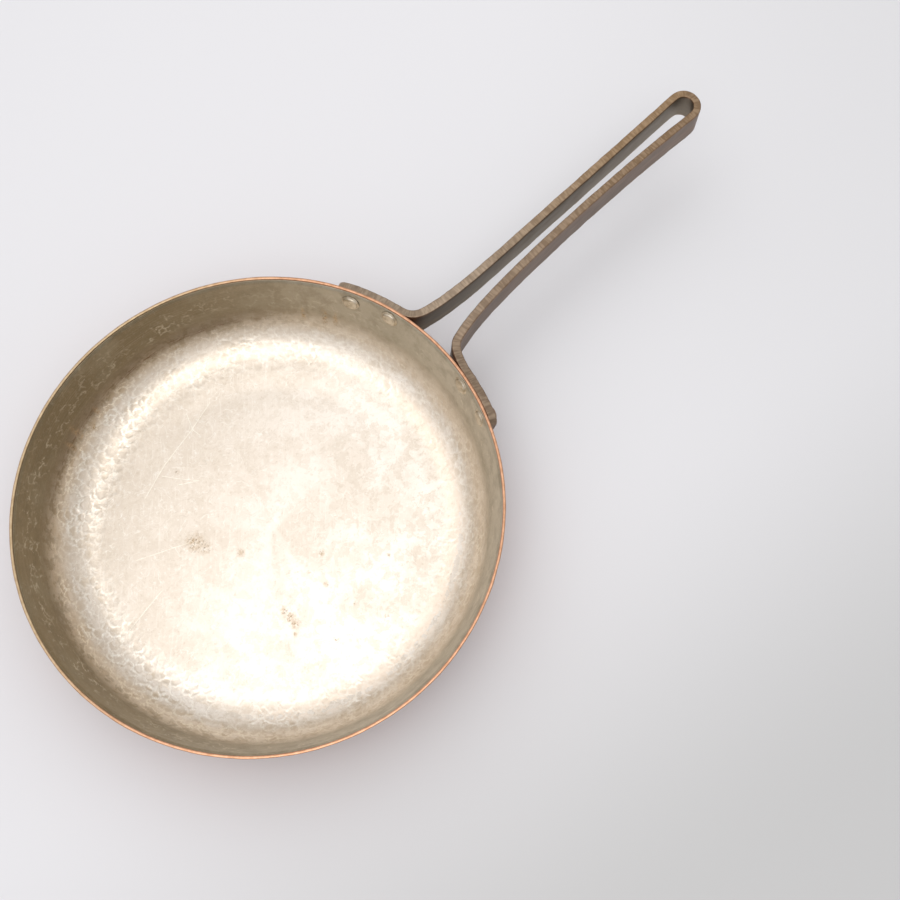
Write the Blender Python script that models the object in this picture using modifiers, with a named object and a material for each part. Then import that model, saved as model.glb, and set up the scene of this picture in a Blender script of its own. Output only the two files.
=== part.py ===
"""Shallow hand-made copper pan: a tinned sheet-copper bowl with a long hairpin handle.

The bowl is a raised copper shell with a thin tin lining inside. The handle is one flat bar
standing on edge: it is bent back on itself into a long narrow loop, and its two ends turn
outwards and follow the wall. Four rivets pass through the lining, the wall and the feet.

Frame: metres, +Z up, the handle along +X, origin at the centre of the pan's underside.
"""

import math

import bmesh
import bpy
from mathutils import Matrix, Vector

MILLIMETRE = 0.001
SHARP_ANGLE = math.radians(35)
MERGE_DISTANCE = 0.00002

# Bowl. The reference line is the copper's inner face; every other face is offset from it.
PAN_HEIGHT = 0.050
RIM_RADIUS = 0.1211          # copper's inner face at the rim
WALL_FLARE = math.atan(0.25)  # the upper wall leans out by this angle
COPPER_THICKNESS = 0.0014
FLOOR_RADIUS = 0.0912        # where the flat floor ends
CREASE_HEIGHT = 0.0268       # where the round corner meets the flared wall
LINING_THICKNESS = 0.0004
LINING_DROP = 0.0008         # the lining stops this far below the rim
CLEARANCE = 0.0003           # between touching pieces
TURN_STEPS = 72
CORNER_STEPS = 8

# Handle bar, standing on edge.
BAR_THICKNESS_FOOT = 0.0047
BAR_THICKNESS_LOOP = 0.0040
BAR_DEPTH_FOOT = 0.0173
BAR_DEPTH_LOOP = 0.0179
BAR_CHAMFER = 0.0005
BAR_TOP = 0.0480             # height of the bar's top edge at the wall
BAR_RISE = math.radians(2.0)
FOOT_TIP_ROUNDING = 0.0050
LEAN_FADE = 0.0020           # the lean of the feet has gone this far past the legs' start

# Handle line in plan, from the wall outwards along +X.
LEG_START = 0.1320
LOOP_CENTRE = 0.3130
WAIST_HALF_GAP = 0.00375     # half the gap between the legs where they are closest
WAIST_PLACE = 0.225
ROOT_SPREAD = 0.0052         # extra half gap at the legs' start
ROOT_SPREAD_FADE = 0.020     # distance over which that spread fades
LOOP_SPREAD = 0.197          # extra half gap per metre squared beyond the waist
SWAY_START = 0.0026          # the hand-bent handle's middle line starts off centre
SWAY_BEND = -0.1935          # and curves sideways, per metre

# Rivets: angle from the handle's direction, and distance of the centre below the rim.
RIVETS = {
    "rivet_left_outer": (math.radians(23.7), 0.0082),
    "rivet_left_inner": (math.radians(12.7), 0.0068),
    "rivet_right_inner": (math.radians(-13.4), 0.0068),
    "rivet_right_outer": (math.radians(-23.0), 0.0066),
}
SHANK_RADIUS = 0.0020
INNER_HEAD_RADIUS = 0.0048
INNER_HEAD_HEIGHT = 0.0015
OUTER_HEAD_RADIUS = 0.0039
OUTER_HEAD_HEIGHT = 0.0017
HEAD_EDGE = 0.0004           # upright edge under a head's dome
DOME_STEPS = 4
RIVET_STEPS = 20
HOLE_LENGTH = 0.030          # of the cutter, well past every wall

# Feet: where each bend leaves the wall and where each tip ends, as angles.
LEFT_FOOT = (math.radians(10.6), math.radians(27.9))
RIGHT_FOOT = (math.radians(-12.6), math.radians(-25.6))
BEND_STIFFNESS = 0.60        # how far each bend's guide points reach towards its corner

# Numbers of sections along the bar.
TIP_SECTIONS = 6
FOOT_SECTIONS = 8
BEND_SECTIONS = 8
LEG_SECTIONS = 16
LEG_CROWDING = 1.4           # above 1, sections crowd towards the curved start of the leg
LOOP_SECTIONS = 14


def clear_scene():
    for item in list(bpy.data.objects):
        bpy.data.objects.remove(item, do_unlink=True)


def collection(name):
    made = bpy.data.collections.new(name)
    bpy.context.scene.collection.children.link(made)
    return made


def material(name, colour, roughness, metallic):
    made = bpy.data.materials.new(name)
    made.use_nodes = True
    shader = made.node_tree.nodes["Principled BSDF"]
    shader.inputs["Base Color"].default_value = (*colour, 1.0)
    shader.inputs["Roughness"].default_value = roughness
    shader.inputs["Metallic"].default_value = metallic
    return made


def place(name, mesh, group, finish):
    made = bpy.data.objects.new(name, mesh)
    group.objects.link(made)
    if finish:
        mesh.materials.append(finish)
    return made


def shade(mesh):
    mesh.shade_smooth()
    mesh.set_sharp_from_angle(angle=SHARP_ANGLE)


# ---------------------------------------------------------------- turned shapes

def turned(name, profile, steps, group, finish):
    """A solid of revolution: the profile runs from the axis at the top round to it below."""
    mesh = bpy.data.meshes.new(name)
    points = [(radius, 0.0, height) for radius, height in profile]
    edges = [(i, i + 1) for i in range(len(points) - 1)]
    mesh.from_pydata(points, edges, [])
    made = place(name, mesh, group, finish)
    screw = made.modifiers.new("turn", "SCREW")
    screw.axis = "Z"
    screw.steps = steps
    screw.render_steps = steps
    screw.use_merge_vertices = True
    screw.merge_threshold = MERGE_DISTANCE
    screw.use_smooth_shade = True
    return made


def bowl_line():
    """The copper's inner face, from the rim down to the axis, as (radius, height)."""
    floor = COPPER_THICKNESS
    wall_run = PAN_HEIGHT - CREASE_HEIGHT
    crease_radius = RIM_RADIUS - wall_run * math.tan(WALL_FLARE)
    line = [(RIM_RADIUS, PAN_HEIGHT), (crease_radius, CREASE_HEIGHT)]
    reach = crease_radius - FLOOR_RADIUS
    drop = CREASE_HEIGHT - floor
    for step in range(1, CORNER_STEPS + 1):
        turn = math.pi / 2 * (1 - step / CORNER_STEPS)
        line.append((FLOOR_RADIUS + reach * math.sin(turn), floor + drop * (1 - math.cos(turn))))
    line.append((0.0, floor))
    return line


def offset_line(line, distance, top):
    """The line moved outwards by distance, square to itself, and cut level at height top."""
    moved = []
    for i, (radius, height) in enumerate(line):
        before = Vector(line[max(i - 1, 0)])
        after = Vector(line[min(i + 1, len(line) - 1)])
        run = (after - before).normalized()
        if i == len(line) - 1:
            run = Vector((-1.0, 0.0))
        outward = Vector((-run.y, run.x))
        if i == 0:
            lean = math.tan(WALL_FLARE)
            radius += distance / math.cos(WALL_FLARE) - (height - top) * lean
            moved.append((radius, top))
        else:
            moved.append((radius + outward.x * distance, height + outward.y * distance))
    return moved


def shell(name, outer, inner, top, group, finish):
    line = bowl_line()
    profile = list(reversed(offset_line(line, inner, top)))
    profile += offset_line(line, outer, top)
    return turned(name, profile, TURN_STEPS, group, finish)


def wall_radius(height, distance=0.0):
    """Radius of the flared wall at a height, on a face offset from the copper's inner face."""
    at_height = RIM_RADIUS - (PAN_HEIGHT - height) * math.tan(WALL_FLARE)
    return at_height + distance / math.cos(WALL_FLARE)


# ---------------------------------------------------------------- handle

def blend(low, high, value):
    """Smooth step from 0 at low to 1 at high."""
    share = min(max((value - low) / (high - low), 0.0), 1.0)
    return share * share * (3 - 2 * share)


def along_handle(x, at_foot, at_loop):
    share = (x - LEG_START) / (LOOP_CENTRE - LEG_START)
    return at_foot + (at_loop - at_foot) * min(max(share, 0.0), 1.0)


def bar_thickness(x):
    return along_handle(x, BAR_THICKNESS_FOOT, BAR_THICKNESS_LOOP)


def bar_top(x):
    return BAR_TOP + max(x - LEG_START, 0.0) * math.tan(BAR_RISE)


def middle_line(x):
    along = x - LEG_START
    return SWAY_START + SWAY_BEND * along * along


def half_gap(x):
    spread = ROOT_SPREAD * math.exp(-(x - LEG_START) / ROOT_SPREAD_FADE)
    beyond = max(x - WAIST_PLACE, 0.0)
    return WAIST_HALF_GAP + spread + LOOP_SPREAD * beyond * beyond


def leg_point(x, side):
    return Vector((x, middle_line(x) + side * (half_gap(x) + bar_thickness(x) / 2)))


def foot_radius():
    inner_face = COPPER_THICKNESS + CLEARANCE
    return wall_radius(BAR_TOP, inner_face + BAR_THICKNESS_FOOT / 2)


def around(angle, radius):
    return Vector((radius * math.cos(angle), radius * math.sin(angle)))


def cross(a, b):
    return a.x * b.y - a.y * b.x


def bend_points(start, start_way, end, end_way, steps):
    """A Bezier bend between two points, guided by the corner where their tangents cross."""
    between = end - start
    turn = cross(start_way, end_way)
    first = start + start_way * (cross(between, end_way) / turn) * BEND_STIFFNESS
    second = end - end_way * (cross(start_way, between) / turn) * BEND_STIFFNESS
    points = []
    for i in range(1, steps):
        t = i / steps
        s = 1 - t
        points.append(start * s ** 3 + first * 3 * s * s * t + second * 3 * s * t * t + end * t ** 3)
    return points


def foot_and_leg(side, leave, tip):
    """Plan points of one foot, its bend and its leg, from the tip to the loop."""
    radius = foot_radius()
    tip_arc = FOOT_TIP_ROUNDING / radius
    points = []
    for i in range(TIP_SECTIONS):
        depth = 1 - math.cos(math.pi / 2 * i / TIP_SECTIONS)
        points.append(around(tip - side * tip_arc * depth, radius))
    full = tip - side * tip_arc
    for i in range(FOOT_SECTIONS + 1):
        points.append(around(full + (leave - full) * i / FOOT_SECTIONS, radius))
    start = points[-1]
    start_way = around(leave - side * math.pi / 2, 1.0)
    end = leg_point(LEG_START, side)
    end_way = (leg_point(LEG_START + MILLIMETRE, side) - end).normalized()
    points += bend_points(start, start_way, end, end_way, BEND_SECTIONS)
    for i in range(LEG_SECTIONS + 1):
        share = (i / LEG_SECTIONS) ** LEG_CROWDING
        points.append(leg_point(LEG_START + (LOOP_CENTRE - LEG_START) * share, side))
    return points


def loop_points(steps):
    """The half turn that joins the two legs."""
    centre = Vector((LOOP_CENTRE, middle_line(LOOP_CENTRE)))
    radius = half_gap(LOOP_CENTRE) + bar_thickness(LOOP_CENTRE) / 2
    return [centre + around(math.pi / 2 - math.pi * i / steps, radius) for i in range(1, steps)]


def handle_line():
    left = foot_and_leg(1, *LEFT_FOOT)
    right = foot_and_leg(-1, *RIGHT_FOOT)
    return left + loop_points(LOOP_SECTIONS) + list(reversed(right))


def tip_trim(travelled, length):
    """How much the rounded tip takes off the top and the bottom of the bar."""
    from_tip = min(travelled, length - travelled)
    if from_tip >= FOOT_TIP_ROUNDING:
        return 0.0
    short = FOOT_TIP_ROUNDING - from_tip
    return FOOT_TIP_ROUNDING - math.sqrt(max(FOOT_TIP_ROUNDING ** 2 - short ** 2, 0.0))


def bar_section(point, way, trim):
    """Eight corners of the bar's cross-section under a plan point of its top edge."""
    distance_out = point.length
    on_foot = 1 - blend(foot_radius(), LEG_START + LEAN_FADE, distance_out)
    radial = Vector((point.x, point.y, 0.0)) / distance_out
    up = (Vector((0.0, 0.0, 1.0)) + radial * math.tan(WALL_FLARE) * on_foot).normalized()
    across = Vector((way.x, way.y, 0.0)).cross(up).normalized()
    top = Vector((point.x, point.y, bar_top(point.x)))
    half = bar_thickness(point.x) / 2
    high = -trim
    low = trim - along_handle(point.x, BAR_DEPTH_FOOT, BAR_DEPTH_LOOP)
    cut = BAR_CHAMFER
    corners = [
        (half - cut, high), (half, high - cut), (half, low + cut), (half - cut, low),
        (cut - half, low), (-half, low + cut), (-half, high - cut), (cut - half, high),
    ]
    return [top + across * side + up * height for side, height in corners]


def handle_mesh():
    """The bar as a loft: its sections lean with the wall at the feet and narrow at the tips."""
    line = handle_line()
    travelled = [0.0]
    for before, after in zip(line, line[1:]):
        travelled.append(travelled[-1] + (after - before).length)
    shape = bmesh.new()
    rings = []
    for i, point in enumerate(line):
        way = (line[min(i + 1, len(line) - 1)] - line[max(i - 1, 0)]).normalized()
        trim = tip_trim(travelled[i], travelled[-1])
        rings.append([shape.verts.new(corner) for corner in bar_section(point, way, trim)])
    for ring, following in zip(rings, rings[1:]):
        for k in range(len(ring)):
            nearby = (k + 1) % len(ring)
            shape.faces.new((ring[k], ring[nearby], following[nearby], following[k]))
    shape.faces.new(rings[0])
    shape.faces.new(rings[-1])
    bmesh.ops.recalc_face_normals(shape, faces=shape.faces)
    mesh = bpy.data.meshes.new("handle")
    shape.to_mesh(mesh)
    shape.free()
    shade(mesh)
    return mesh


# ---------------------------------------------------------------- rivets and their holes

def rivet_frame(angle, drop):
    """Place of a rivet: origin on the copper's inner face, local +Z out through the wall."""
    height = PAN_HEIGHT - drop
    radius = wall_radius(height)
    origin = Vector((radius * math.cos(angle), radius * math.sin(angle), height))
    turn = Matrix.Rotation(angle, 4, "Z") @ Matrix.Rotation(math.pi / 2 + WALL_FLARE, 4, "Y")
    return Matrix.Translation(origin) @ turn


def dome(radius, height):
    """A low dome from its crown down to its edge, as (radius, height above the edge)."""
    turns = [math.pi / 2 * i / DOME_STEPS for i in range(DOME_STEPS + 1)]
    return [(radius * math.sin(turn), height * math.cos(turn)) for turn in turns]


def rivet_profile():
    outer_seat = COPPER_THICKNESS + BAR_THICKNESS_FOOT + 2 * CLEARANCE
    inner_seat = -(LINING_THICKNESS + 2 * CLEARANCE)
    profile = [
        (radius, outer_seat + HEAD_EDGE + height)
        for radius, height in dome(OUTER_HEAD_RADIUS, OUTER_HEAD_HEIGHT - HEAD_EDGE)
    ]
    profile += [(OUTER_HEAD_RADIUS, outer_seat), (SHANK_RADIUS, outer_seat)]
    profile += [(SHANK_RADIUS, inner_seat), (INNER_HEAD_RADIUS, inner_seat)]
    profile += [
        (radius, inner_seat - HEAD_EDGE - height)
        for radius, height in reversed(dome(INNER_HEAD_RADIUS, INNER_HEAD_HEIGHT - HEAD_EDGE))
    ]
    return profile


def hole_cutter(frame, group):
    mesh = bpy.data.meshes.new("rivet_hole")
    shape = bmesh.new()
    bmesh.ops.create_cone(
        shape, cap_ends=True, segments=RIVET_STEPS, depth=HOLE_LENGTH,
        radius1=SHANK_RADIUS + CLEARANCE, radius2=SHANK_RADIUS + CLEARANCE,
    )
    shape.to_mesh(mesh)
    shape.free()
    cutter = place("rivet_hole", mesh, group, None)
    cutter.matrix_world = frame
    cutter.hide_render = True
    cutter.display_type = "WIRE"
    return cutter


def drill(target, cutters):
    for cutter in cutters:
        hole = target.modifiers.new("hole", "BOOLEAN")
        hole.operation = "DIFFERENCE"
        hole.solver = "EXACT"
        hole.object = cutter


def build():
    clear_scene()
    parts = collection("copper_pan")
    cutters = collection("cutters")
    copper = material("copper", (0.80, 0.42, 0.27), 0.32, 1.0)
    tin = material("tin", (0.62, 0.59, 0.52), 0.38, 1.0)
    bronze = material("bronze", (0.30, 0.24, 0.17), 0.45, 1.0)

    outside = COPPER_THICKNESS
    lining_back = -CLEARANCE
    lining_face = lining_back - LINING_THICKNESS
    body = shell("copper_body", outside, 0.0, PAN_HEIGHT, parts, copper)
    lining_top = PAN_HEIGHT - LINING_DROP
    lining = shell("tin_lining", lining_back, lining_face, lining_top, parts, tin)
    handle = place("handle", handle_mesh(), parts, bronze)

    holes = []
    for name, (angle, drop) in RIVETS.items():
        frame = rivet_frame(angle, drop)
        rivet = turned(name, rivet_profile(), RIVET_STEPS, parts, tin)
        rivet.matrix_world = frame
        holes.append(hole_cutter(frame, cutters))
    for target in (body, lining, handle):
        drill(target, holes)


build()
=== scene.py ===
"""Looks of the shallow copper pan: fine hammered surfaces, tin, patina, light and camera."""

import math

import bpy
import numpy as np
from mathutils import Matrix, Vector, kdtree, noise


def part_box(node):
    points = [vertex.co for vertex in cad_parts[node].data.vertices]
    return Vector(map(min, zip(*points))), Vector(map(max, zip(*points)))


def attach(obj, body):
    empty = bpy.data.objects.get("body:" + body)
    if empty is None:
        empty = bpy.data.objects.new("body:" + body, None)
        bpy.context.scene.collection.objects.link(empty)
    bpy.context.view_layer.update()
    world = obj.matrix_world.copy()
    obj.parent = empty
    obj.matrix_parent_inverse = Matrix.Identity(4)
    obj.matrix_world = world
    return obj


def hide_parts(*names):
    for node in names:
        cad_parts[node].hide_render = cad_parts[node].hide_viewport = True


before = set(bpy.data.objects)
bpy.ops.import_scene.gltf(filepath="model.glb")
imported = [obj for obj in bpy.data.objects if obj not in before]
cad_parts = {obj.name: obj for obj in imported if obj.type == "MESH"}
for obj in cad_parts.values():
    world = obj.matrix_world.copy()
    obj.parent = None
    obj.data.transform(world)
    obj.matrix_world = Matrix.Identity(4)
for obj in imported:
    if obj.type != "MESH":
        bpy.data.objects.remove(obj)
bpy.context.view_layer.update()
body_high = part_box("copper_body")[1]
handle_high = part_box("handle")[1]

MM = 0.001
SEED = 7

# ---- bowl sizes, from the frame
PAN_HEIGHT = body_high.z
RIM_OUTER = body_high.y
COPPER = 1.4 * MM
TIN = 0.7 * MM               # tin face to copper's inner face
FLARE = math.atan(0.25)
RIM_RADIUS = RIM_OUTER - COPPER / math.cos(FLARE)
FLOOR_RADIUS = 91.2 * MM
CREASE_HEIGHT = 26.8 * MM
OUT_OF_ROUND = 0.28 * MM     # the rim is slightly three-sided
OUT_OF_ROUND_TURN = math.radians(24)
SPOKES = 800
TIN_SPOKES = 1300
BLOW_PITCH = 4.9 * MM
STRONG_SIDE = math.radians(178)   # where the hammer marks are deepest
PROFILE_STEP = 0.1 * MM      # spacing of the points along the bowl's profile
PROFILE_SOFTENING = 45       # in steps: how far the profile's joins are blended each way
RIM_ROUNDING = 0.5 * MM      # the copper's faces end this far below the rim's top
AXIS_GAP = 1.5 * MM          # the first ring's distance from the axis, closed by one face
LEVEL = 0.05 * MM            # small offsets that keep hidden faces apart

# ---- hammered surfaces
# Places are lengths along the bowl's profile, from its axis.
TIN_EDGE_DROP = 0.9 * MM     # the tin stops this far below the rim
TIN_FEATHER = 2.2 * MM       # and thins out over this much of the wall
TIN_BLOWS_START = 66 * MM
TIN_DISH_DEPTH = 0.235 * MM
TIN_DISH_EDGE = 0.52 * MM    # half width of the ridge between two dishes
CORNER_START, CORNER_FULL = 82 * MM, 96 * MM
EARLY_SIDE = math.radians(42)
EARLY_LIFT = 1.45 * MM       # the floor rises sooner on that side, by this much in the corner
EARLY_START, EARLY_FULL, EARLY_FADE = 75 * MM, 94 * MM, 98 * MM
COPPER_BLOW_PITCH = 7.5 * MM
COPPER_BLOWS_START = 8 * MM
COPPER_DISH_DEPTH = 0.10 * MM
COPPER_DISH_EDGE = 0.8 * MM
BLOWS_PAST_RIM = 4 * MM      # the profile and the rows of blows start this far beyond the rim

# ---- handle sizes
LEG_START = 132.0 * MM
BAR_TOP = 48.0 * MM
BAR_RISE = math.radians(2.0)
BAR_THICK = (4.7 * MM, 4.0 * MM)
BAR_DEPTH = (17.3 * MM, 17.9 * MM)
WAIST_HALF_GAP = 3.75 * MM
WAIST_PLACE = 225.0 * MM
ROOT_SPREAD = 5.2 * MM
ROOT_SPREAD_FADE = 20.0 * MM
LOOP_SPREAD = 0.197
SWAY_START = 2.6 * MM
SWAY_BEND = -0.1935
LEAN_FADE = 2.0 * MM
TIP_ROUNDING = 5.0 * MM
CLEARANCE = 0.3 * MM
LEFT_FOOT = (math.radians(10.6), math.radians(27.9))
RIGHT_FOOT = (math.radians(-12.6), math.radians(-25.6))
BEND_STIFFNESS = 0.60
STATION = 0.6 * MM           # spacing of the sections along the bar
LINE_SOFTENING = 5           # in stations
TICK_DEPTH = 0.11 * MM       # tool ticks across the narrow faces
EDGE_WAVE = 0.12 * MM
FLAT_DEPTH = 0.10 * MM       # hammered flats on the tall faces
SIDE_WAVE = 0.14 * MM
ARRIS_TICK = 0.04 * MM
ARRIS_WAVE = 0.08 * MM


# ---- small helpers

def smooth(low, high, value):
    """Smooth step from 0 at low to 1 at high, for numbers or arrays."""
    share = np.clip((value - low) / (high - low), 0.0, 1.0)
    return share * share * (3 - 2 * share)


def ripple(points, scale, seed=0.0, octaves=2):
    """Fractal noise from -1 to 1 at every point; scale is the size of its features."""
    shift = Vector((seed * 13.1, seed * 7.7, seed * 3.3))
    values = [
        noise.fractal(Vector(p) / scale + shift, 0.6, 2.0, octaves, noise_basis="PERLIN_ORIGINAL")
        for p in points.reshape(-1, 3)
    ]
    return np.array(values).reshape(points.shape[:-1])


def grid_faces(rows, columns):
    """Quads between neighbouring rows of vertices, each row a closed ring."""
    row = np.arange(rows - 1)[:, None]
    column = np.arange(columns)[None, :]
    following = (column + 1) % columns
    a = row * columns + column
    b = row * columns + following
    return np.stack([a, b, b + columns, a + columns], axis=-1).reshape(-1, 4)


def closed_faces(rows, columns):
    """The same quads, and one face over each open end."""
    ring = list(range(columns))
    last = [(rows - 1) * columns + k for k in ring]
    return grid_faces(rows, columns).tolist() + [ring[::-1], last]


def ring_points(radius, level, angle):
    """Points at this radius and level, at each angle round the axis."""
    return np.stack(np.broadcast_arrays(radius * np.cos(angle), radius * np.sin(angle), level), axis=-1)


def unit(vectors):
    return vectors / np.linalg.norm(vectors, axis=1)[:, None]


def lengths_along(line):
    """Each point's distance from the line's start, along the line."""
    steps = np.linalg.norm(np.diff(line, axis=0), axis=1)
    return np.concatenate([[0], np.cumsum(steps)])


def read_off(line, known, wanted):
    """The line's two columns at the wanted places, from those at the known ones."""
    return np.stack([np.interp(wanted, known, line[:, k]) for k in (0, 1)], axis=-1)


def softened(line, width):
    """The line of points averaged over width points each way, with its ends kept in place."""
    window = np.hanning(2 * width + 3)[1:-1]
    window /= window.sum()
    padded = np.pad(line, ((width, width), (0, 0)), mode="reflect", reflect_type="odd")
    return np.stack([np.convolve(padded[:, k], window, mode="valid") for k in (0, 1)], axis=1)


def make_piece(name, points, faces, material, attributes=None):
    """A smooth-shaded mesh object, with one float value per point for each named attribute."""
    mesh = bpy.data.meshes.new(name)
    mesh.from_pydata(points.tolist(), [], faces)
    mesh.validate()
    for key, values in (attributes or {}).items():
        layer = mesh.attributes.new(key, "FLOAT", "POINT")
        layer.data.foreach_set("value", np.asarray(values, dtype=np.float32))
    mesh.shade_smooth()
    mesh.materials.append(material)
    piece = bpy.data.objects.new(name, mesh)
    bpy.context.scene.collection.objects.link(piece)
    return piece


# ---- bowl profile

def reference_profile():
    """The copper's inner face as a dense line from the axis to the rim, crease softened."""
    crease_radius = RIM_RADIUS - (PAN_HEIGHT - CREASE_HEIGHT) * math.tan(FLARE)
    reach = crease_radius - FLOOR_RADIUS
    drop = CREASE_HEIGHT - COPPER
    floor = [(r, COPPER) for r in np.linspace(0, FLOOR_RADIUS, 400)]
    corner = [
        (FLOOR_RADIUS + reach * math.sin(t), COPPER + drop * (1 - math.cos(t)))
        for t in np.linspace(0, math.pi / 2, 200)[1:]
    ]
    top = PAN_HEIGHT + BLOWS_PAST_RIM
    wall = [
        (crease_radius + (z - CREASE_HEIGHT) * math.tan(FLARE), z)
        for z in np.linspace(CREASE_HEIGHT, top, 120)[1:]
    ]
    line = np.array(floor + corner + wall)
    length = lengths_along(line)
    return softened(read_off(line, length, np.arange(0, length[-1], PROFILE_STEP)), PROFILE_SOFTENING)


PROFILE = reference_profile()
TANGENT = unit(np.gradient(PROFILE, axis=0))
OUTWARD = np.stack([TANGENT[:, 1], -TANGENT[:, 0]], axis=1)
RIM_PLACE = np.interp(PAN_HEIGHT, PROFILE[:, 1], np.arange(len(PROFILE))) * PROFILE_STEP
CREASE_PLACE = np.interp(CREASE_HEIGHT, PROFILE[:, 1], np.arange(len(PROFILE))) * PROFILE_STEP


def profile_at(place, offset):
    """Radius and height on the face that lies offset outside the copper's inner face."""
    index = np.asarray(place) / PROFILE_STEP
    count = np.arange(len(PROFILE))
    out = read_off(OUTWARD, count, index)
    return read_off(PROFILE, count, index) + out * np.asarray(offset)[..., None], out


def out_of_round(angle, height):
    return OUT_OF_ROUND * np.cos(3 * (angle - OUT_OF_ROUND_TURN)) * smooth(0.0, PAN_HEIGHT, height)


def revolve(places, offsets, spokes=SPOKES):
    """Points and outward normals of a grid of rings, one ring for each place."""
    line, out = profile_at(places, offsets)
    angle = np.arange(spokes) * (2 * math.pi / spokes)
    radius = line[:, :1] + out_of_round(angle[None, :], line[:, 1:])
    return ring_points(radius, line[:, 1:], angle), ring_points(out[:, :1], out[:, 1:], angle), angle


# ---- hammer marks

def blow_centres(first, last, pitch, seed):
    """Rows of hammer blows round the bowl, mostly from the rim inwards.

    Each is (x, y, z, place, reach): its middle, its place along the profile and its radius.
    """
    random = np.random.default_rng(seed)
    centres = []
    turns = []
    for row, place in enumerate(np.arange(last, first, -pitch * 0.76)):
        radius = profile_at(place, 0.0)[0][0]
        count = max(int(2 * math.pi * radius / pitch), 3)
        start = random.uniform(0, 2 * math.pi)
        for k in range(count):
            angle = start + 2 * math.pi * k / count + random.normal(0, 0.24) * pitch / radius
            here = place + random.normal(0, 0.22) * pitch
            (r, z), _ = profile_at(here, 0.0)
            reach = pitch * random.uniform(0.52, 0.80)
            centres.append((r * math.cos(angle), r * math.sin(angle), z, here, reach))
            turns.append(row + random.normal(0, 1.0))
    return np.array(centres)[np.argsort(turns)]


def overlapping_dishes(points, places, centres, edge):
    """Round shallow dishes, each one cutting into those before it.

    Returns the height (-1 in the middle of a dish, 0 at its edge), a mask of the edges, which
    is strongest on their sides towards the rim, and a random tone for each dish.
    """
    tree = kdtree.KDTree(len(centres))
    for i, centre in enumerate(centres):
        tree.insert(centre[:3], i)
    tree.balance()
    widest = centres[:, 4].max() + edge
    reach = centres[:, 4]
    home = centres[:, 3]
    drift = [ripple(points, 2.6 * MM, 30.0 + k, 3) * 1.1 * MM for k in range(3)]
    flat = (points + np.stack(drift, axis=-1)).reshape(-1, 3)
    height = np.zeros(len(flat))
    rim_edge = np.zeros(len(flat))
    owner = np.zeros(len(flat), dtype=int)
    for i, (point, place) in enumerate(zip(flat.tolist(), places.ravel().tolist())):
        newest, depth, border, side = -1, 0.0, 0.0, 0.0
        found = tree.find_range(point, widest)
        for _, k, distance in found:
            if k > newest and distance < reach[k]:
                newest = k
                depth = (distance / reach[k]) ** 2 - 1
                border = max(1 - (reach[k] - distance) / edge, 0.0)
                side = (place - home[k]) / reach[k]
        for _, k, distance in found:
            if k > newest and distance >= reach[k]:
                near = max(1 - (distance - reach[k]) / edge, 0.0)
                if near > border:
                    border, side = near, (place - home[k]) / reach[k]
        height[i] = depth
        rim_edge[i] = border * min(max(side * 0.9 + 0.65, 0.0), 1.0)
        owner[i] = newest
    tone = np.random.default_rng(SEED + 50).uniform(0, 1, len(centres) + 1)[owner]
    shape = points.shape[:-1]
    return height.reshape(shape), rim_edge.reshape(shape), tone.reshape(shape)


# ---- bowl pieces

def early_corner(angle):
    """Share of the early rise at each angle, strongest on the side towards the left foot."""
    return np.clip(np.cos(angle - EARLY_SIDE), 0, 1) ** 2


def tin_piece(material):
    """The tin lining: a hammered face, feathered out just under the rim, with a plain back."""
    edge = RIM_PLACE - TIN_EDGE_DROP
    floor_rings = np.linspace(AXIS_GAP, 70 * MM, 36)
    wall_rings = np.linspace(70.5 * MM, edge, 150)
    places = np.concatenate([floor_rings, wall_rings])
    thinning = 1 - smooth(edge - TIN_FEATHER, edge, places)
    points, outward, angle = revolve(places, -TIN * (0.12 + 0.88 * thinning), TIN_SPOKES)
    place = np.repeat(places[:, None], TIN_SPOKES, axis=1)

    centres = blow_centres(TIN_BLOWS_START, RIM_PLACE + BLOWS_PAST_RIM, BLOW_PITCH, SEED)
    height, rim_edge, tone = overlapping_dishes(points, place, centres, TIN_DISH_EDGE)
    patch = ripple(points, 22 * MM, 1.0)
    towards_strong = np.cos(angle - STRONG_SIDE)[None, :]
    corner = smooth(CORNER_START, CORNER_FULL, place)
    on_wall = smooth(CREASE_PLACE - 10 * MM, CREASE_PLACE + 2 * MM, place)
    strength = corner * (0.74 + 0.30 * towards_strong) * np.clip(0.95 + 0.9 * patch, 0.25, 1.6)
    strength *= 1 - 0.52 * on_wall
    strength += 0.10 * (1 - corner)
    swell = ripple(points, 24 * MM, 2.0) * 0.09 * MM + ripple(points, 9 * MM, 3.0) * 0.02 * MM
    swell *= 0.40 + 0.60 * smooth(70 * MM, 100 * MM, place)
    lift = (height + 0.4) * TIN_DISH_DEPTH * strength + swell
    early = smooth(EARLY_START, EARLY_FULL, place)
    early *= 1 - smooth(EARLY_FADE, CREASE_PLACE + 2 * MM, place)
    lift += EARLY_LIFT * early_corner(angle)[None, :] * early
    lift *= smooth(0.0, 1.0, thinning)[:, None]
    points = points - outward * lift[..., None]

    back_places = np.linspace(edge, AXIS_GAP, 14)
    back, _, _ = revolve(back_places, np.full(14, 0.02 * MM), TIN_SPOKES)
    grid = np.concatenate([points, back]).reshape(-1, 3)
    rows = len(places) + len(back_places)
    faces = closed_faces(rows, TIN_SPOKES)
    front = np.zeros((rows, TIN_SPOKES))
    front[: len(places)] = np.clip(strength, 0, 1)
    marks, dish, tones, run = (np.zeros((rows, TIN_SPOKES)) for _ in range(4))
    marks[: len(places)] = rim_edge
    dish[: len(places)] = -height
    tones[: len(places)] = tone
    run[: len(places)] = place
    return make_piece(
        "pan_tinning", grid, faces, material,
        {"ridge": (marks * front).ravel(), "hollow": (dish * front).ravel(),
         "tone": tones.ravel(), "place": run.ravel()},
    )


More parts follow.
